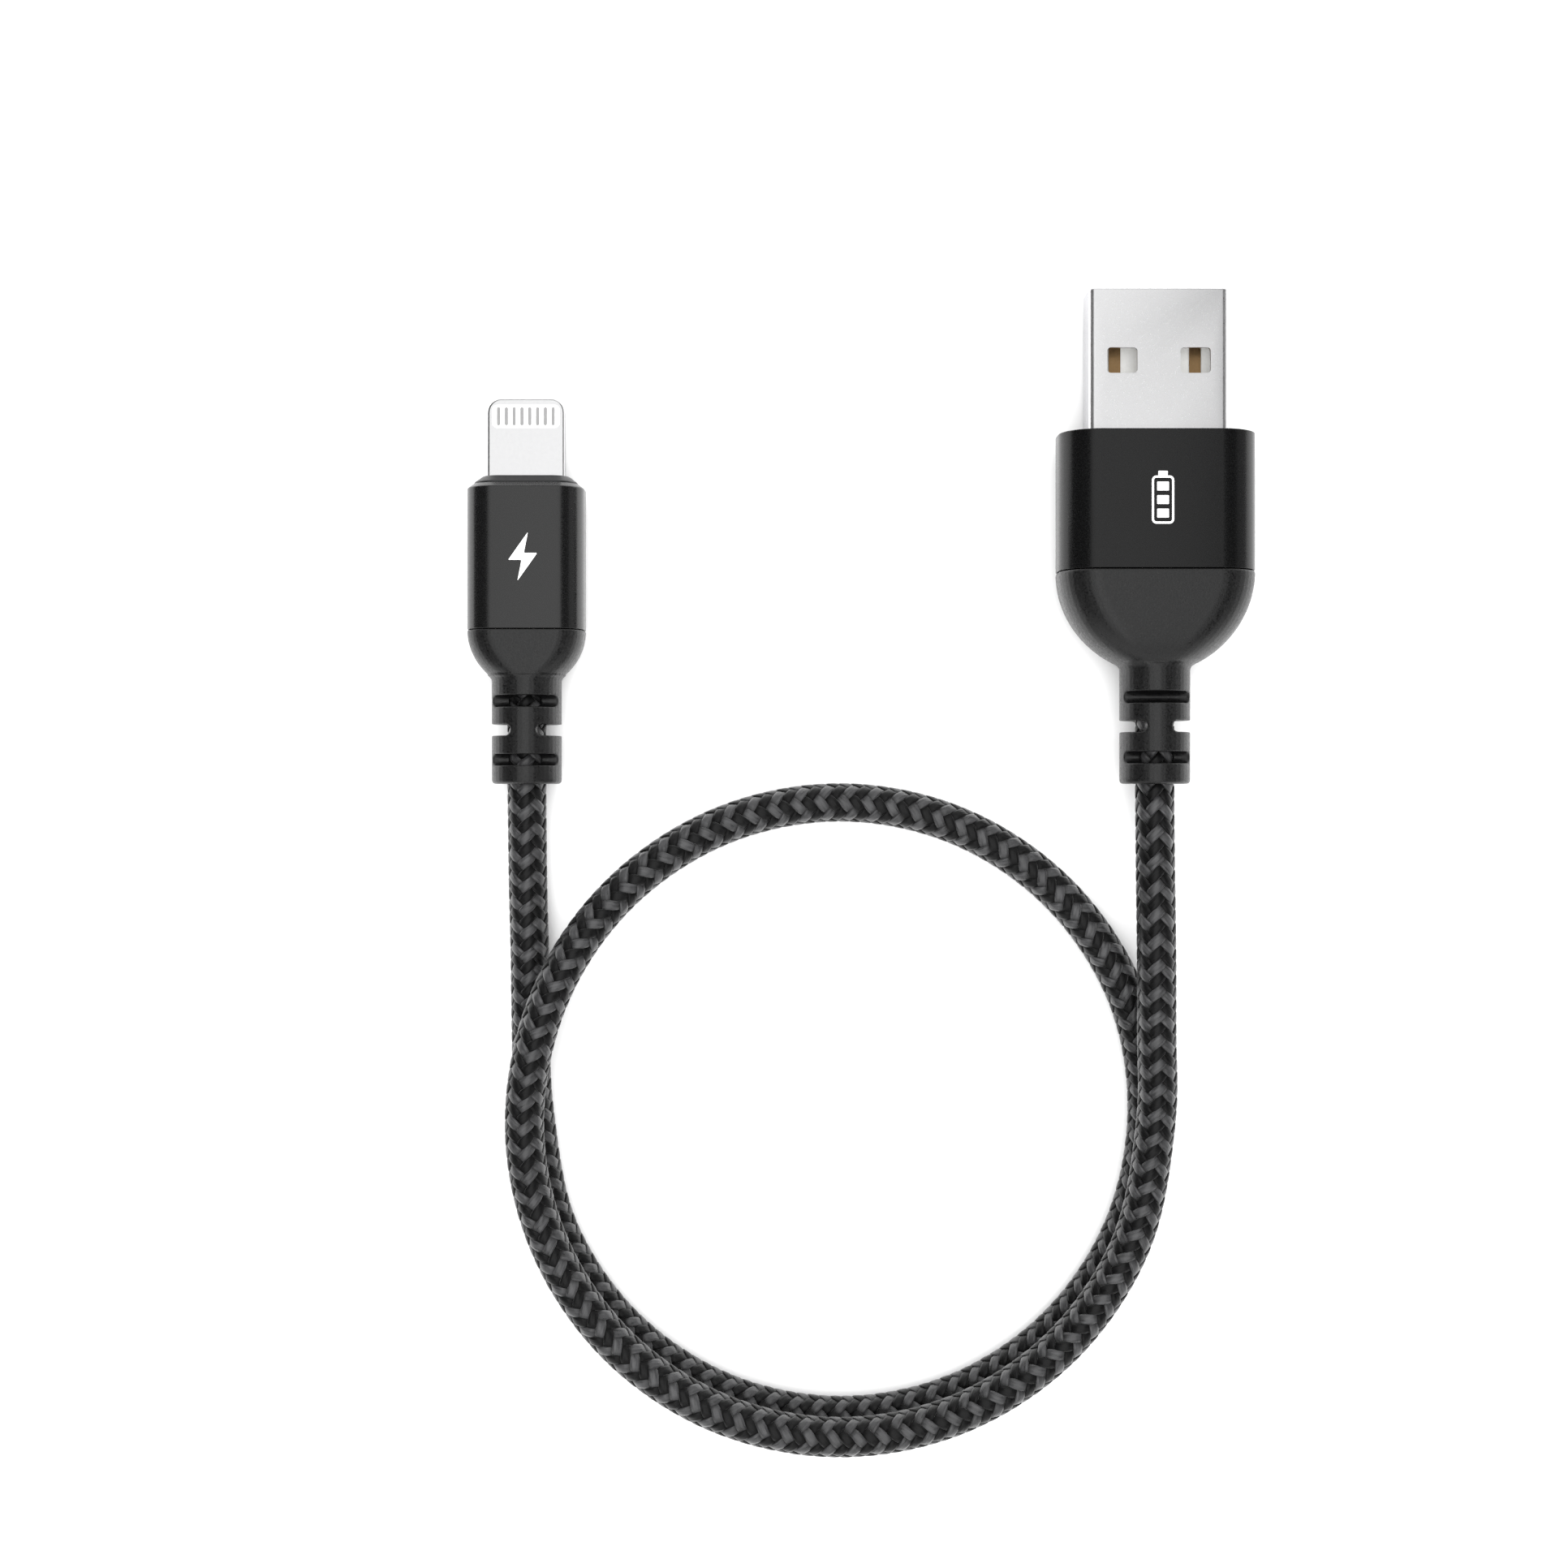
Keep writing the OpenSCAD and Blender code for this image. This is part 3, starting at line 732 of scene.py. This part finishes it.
fit_boot(usb, 3.3, [
    (BORE_R, -1, middle(usb)), (BORE_R, usb.tilt + 0.8, FERRULE_Y["usb"] + 1),
    (FERRULE_R, FERRULE_Y["usb"], usb.seam - 3), (MOULD_R["usb"], usb.seam - 5, usb.seam + 1)], 0.09)
fit_boot(tip, TIP_CORNER, [
    (BORE_R, -1, FERRULE_Y["tip"] + 1), (FERRULE_R, FERRULE_Y["tip"], tip.seam - 1),
    (MOULD_R["tip"], tip.seam - 1.7, tip.seam + 1)], 0.07)


# ---------- sleeves, collar and shell

def fitted(piece, plug, slot, *nodes):
    """The piece rides on its plug in place of the nodes."""
    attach(piece, plug.body)
    if nodes:
        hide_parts(*nodes)


SLEEVE_WALL = 0.8
GROOVE = 0.03           # half of the hairline gap between shoulder and sleeve

usb_sleeve_profile = eased([
    (usb.seam + GROOVE, 0), (usb.face, 0), (usb.face, SLEEVE_WALL), (usb.seam + GROOVE, SLEEVE_WALL)],
    [0.1, 0.1, 0.08, 0.1])
fitted(turned_skin("usb_sleeve_case", usb, usb.w, usb.t, 3.4, usb_sleeve_profile, anodised_shaded),
       usb, "sleeve_black", "usb_sleeve")

CHAMFER_IN, CHAMFER_UP = 0.55, 0.4
tip_sleeve_profile = eased([
    (tip.seam + GROOVE, 0), (tip.face - CHAMFER_UP, 0), (tip.face, CHAMFER_IN), (tip.face, SLEEVE_WALL),
    (tip.seam + GROOVE, SLEEVE_WALL)], [0.1, 0.1, 0.08, 0.05, 0.05])
fitted(turned_skin("tip_sleeve_case", tip, tip.w, tip.t, TIP_CORNER, tip_sleeve_profile, anodised),
       tip, "sleeve_black", "tip_sleeve")

tab_low, tab_high = box_mm("tip_tab_frame")
tab_w, tab_t = tab_high[0] - tab_low[0], tab_high[2] - tab_low[2]
tab_end = tip.end_of("tip_tab_frame")
collar_top = tip.end_of("tip_front_collar")
COLLAR_IN = 0.6
collar_rings = [
    ring_y(tip, tip.w - 2 * (COLLAR_IN + d), tip.t - 2 * (COLLAR_IN + d), TIP_CORNER - COLLAR_IN - 0.5 * d, y)
    for y, d in eased([(tip.face - 0.5, 0), (tip.face + 0.12, 0), (collar_top, 0.72), (collar_top, 1.5)],
                      [0.05, 0.1, 0.12, 0.1])]
collar = loft("tip_collar", collar_rings, black_plastic, sharp_deg=50)
tab_slot = loft("slot", [
    ring_y(tip, tab_w + 0.1, tab_t + 0.1, 0.1, y) for y in (tip.face - 2, collar_top + 1)], black_plastic)
combine(collar, [tab_slot], "DIFFERENCE")
finish_shading(collar.data, 40)
fitted(collar, tip, "front_plastic", "tip_front_collar")

shell_low, shell_high = box_mm("usb_shell")
shell_w, shell_t = shell_high[0] - shell_low[0], shell_high[2] - shell_low[2]
shell_end = usb.end_of("usb_shell")
shell_start = shell_low[1] - usb.origin[1]
SHELL_WALL = 0.3
WINDOW = (2.6, 2.2)
WINDOW_CORNER = 0.32
WINDOW_X = 3.15
WINDOW_Y = shell_end - 6.2
shell_profile = eased([(shell_start, 0), (shell_end, 0), (shell_end, SHELL_WALL), (shell_start, SHELL_WALL)],
                      [0.05, 0.14, 0.1, 0.05])
shell = turned_skin("usb_steel_shell", usb, shell_w, shell_t, 0.55, shell_profile, shell_steel)
windows = [
    loft("window", [ring_z(usb, (x, WINDOW_Y), *WINDOW, WINDOW_CORNER, z) for z in (-FAR, FAR)], shell_steel)
    for x in (-WINDOW_X, WINDOW_X)]
combine(shell, windows, "DIFFERENCE")
finish_shading(shell.data, 30)
fitted(shell, usb, "shell_steel", "usb_shell")


# ---------- tab and its contacts

tab_length = tab_high[1] - tab_low[1]
tab = slab("tip_tab", tip, (0, tab_end - tab_length / 2), tab_w, tab_length, 1.2, -tab_t / 2, tab_t / 2, 0.16,
           tab_steel)
fitted(tab, tip, "tab_steel", "tip_tab_frame")

INSERT = (5.9, 2.0)
BAR = (0.3, 1.6)
BAR_COUNT = 8
BAR_STEP = 0.68
INSERT_Y = tab_end - 1.55
insert = slab("tip_insert", tip, (0, INSERT_Y), *INSERT, 0.45, -tab_t / 2 - 0.02, tab_t / 2 + 0.02, 0.03,
              insert_plastic)
fitted(insert, tip, "block_plastic", "tip_contact_block")

for face, way in (("front", 1), ("back", -1)):
    bars = []
    for k in range(BAR_COUNT):
        z = sorted([way * (tab_t / 2 - 0.1), way * (tab_t / 2 + 0.035)])
        bars.append(slab("bar", tip, ((k - (BAR_COUNT - 1) / 2) * BAR_STEP, INSERT_Y), *BAR, 0.14, *z, 0.015,
                         contact_pale))
    fitted(join(f"tip_{face}_bars", bars), tip, "contact_pale", f"tip_contacts_{face}")


# ---------- printed marks: a battery and a bolt, both plain signs

PRINT_T = 0.02


def battery_mark():
    """A battery standing on end: its case in outline, its cap, and three bars of charge."""
    wide, tall, line = 1.9, 4.1, 0.18
    base = usb.face - 8.15
    outer = [ring_z(usb, (0, base + tall / 2), wide, tall, 0.4, usb.t / 2 + z) for z in (0, PRINT_T)]
    inner = [ring_z(usb, (0, base + tall / 2), wide - 2 * line, tall - 2 * line, 0.4 - line, usb.t / 2 + z)
             for z in (PRINT_T, 0)]
    parts = [loft("case", outer + inner, white_print, closed=True)]
    cap = [((0, base + tall + 0.2), (0.8, 0.4))]
    charge = [((0, base + 0.9 + 1.15 * k), (1.0, 0.75)) for k in range(3)]
    parts += [slab("bar", usb, at, *size, 0.06, usb.t / 2, usb.t / 2 + PRINT_T, 0.005, white_print)
              for at, size in cap + charge]
    return join("usb_battery_mark", parts)


def bolt_mark():
    tall = 2.1
    corners = [(0.45, tall), (-1.25, -0.3), (-0.1, -0.3), (-0.45, -tall), (1.25, 0.3), (0.1, 0.3)]
    shape = eased(corners, 0.12, 3) + [0, tip.seam + 6.2]
    return prism("tip_bolt_mark", shape, tip.t / 2, tip.t / 2 + PRINT_T, 2, tip, white_print)


fitted(battery_mark(), usb, "block_plastic")
fitted(bolt_mark(), tip, "block_plastic")


# ---------- the CAD nodes that show, or that lie inside

NODE_MATERIALS = {
    "usb_front_plate": black_plastic,
    "usb_tongue": grained("tongue_plastic", (0.72, 0.72, 0.7), 0.35, 0.3, 0.002, speckle=0.03),
    "inner_mould": grained("core_plastic", (0.7, 0.68, 0.6), 0.5, 0.4, 0.006, speckle=0.05),
    "contact": grained("contact_gold", (0.26, 0.165, 0.08), 0.35, 0.3, 0.002, speckle=0.08, Metallic=1.0),
    "circuit_board": grained("board_green", (0.02, 0.16, 0.06), 0.3, 0.6, 0.004, speckle=0.12),
    "chip": grained("chip_black", (0.02, 0.02, 0.022), 0.55, 0.15, 0.006, speckle=0.2),
    "ferrule": grained("ferrule_steel", (0.6, 0.6, 0.6), 0.35, 0.3, 0.006, speckle=0.06, Metallic=1.0),
    "wire_red": grained("wire_red", (0.5, 0.03, 0.02), 0.4, 0.2, 0.003),
    "wire_white": grained("wire_white", (0.8, 0.8, 0.78), 0.4, 0.2, 0.003, speckle=0.04),
    "wire_green": grained("wire_green", (0.03, 0.3, 0.09), 0.4, 0.2, 0.003),
    "wire_black": grained("wire_black", (0.02, 0.02, 0.02), 0.4, 0.2, 0.003),
    "cord_end": cord_jacket,
}
for node, piece in frame["nodes"].items():
    for key, material in NODE_MATERIALS.items():
        if key in node and not piece.hide_render:
            for material_slot in piece.material_slots:
                material_slot.material = material


# ---------- floor and light

def paper():
    shader = Shader("paper", Specular_IOR_Level=0.2, Roughness=0.8)
    shader.feed("Base Color", shader.tint(shader.noise(40), (0.83, 0.83, 0.83), (0.85, 0.85, 0.85)))
    return shader.material


def flat_sheet(name, half, z, material):
    corners = [(-half, -half, z), (half, -half, z), (half, half, z), (-half, half, z)]
    return make_piece(name, corners, [(0, 1, 2, 3)], material)


# The floor lies just under the cable, so that no face of the two shares a plane
flat_sheet("floor", 700, -0.05, paper())


def area_light(name, place, size, power, aim=None, glossy=True, diffuse=True):
    """A rectangular light that shines straight down, or at aim."""
    light = bpy.data.objects.new(name, bpy.data.lights.new(name, "AREA"))
    light.data.shape = "RECTANGLE"
    light.data.size, light.data.size_y = size
    light.data.energy = power
    light.location = place
    if aim:
        light.rotation_euler = (Vector(aim) - light.location).to_track_quat("-Z", "Y").to_euler()
    light.visible_glossy = glossy
    light.visible_diffuse = diffuse
    scene.collection.objects.link(light)


area_light("softbox", (-0.03, -0.01, 0.6), (0.48, 1.14), 1.97)
# Cards round the cable, seen only in the shine of its steel and yarn
for x, y, power in ((0, 0.75, 2.4), (0, -0.75, 2.4), (0.9, 0, 1.2)):
    area_light("card", (x, y, 0.3), (1.8, 0.55), power, aim=(0, -0.02, 0), diffuse=False)
area_light("fill", (0.08, 0.03, 0.85), (2.2, 2.2), 42.0, glossy=False)

# The room is dim in reflections, so that tilted surfaces darken, and pale to look at
world = bpy.data.worlds.new("studio")
world.use_nodes = True
links = world.node_tree.links
dim = world.node_tree.nodes["Background"]
pale = world.node_tree.nodes.new("ShaderNodeBackground")
for background, strength in ((dim, 0.1), (pale, 1.0)):
    background.inputs["Color"].default_value = (1, 1, 1, 1)
    background.inputs["Strength"].default_value = strength
choice = world.node_tree.nodes.new("ShaderNodeMixShader")
seen = world.node_tree.nodes.new("ShaderNodeLightPath").outputs["Is Camera Ray"]
links.new(seen, choice.inputs["Fac"])
links.new(dim.outputs["Background"], choice.inputs[1])
links.new(pale.outputs["Background"], choice.inputs[2])
links.new(choice.outputs["Shader"], world.node_tree.nodes["World Output"].inputs["Surface"])
scene.world = world
scene.view_settings.view_transform = "Standard"
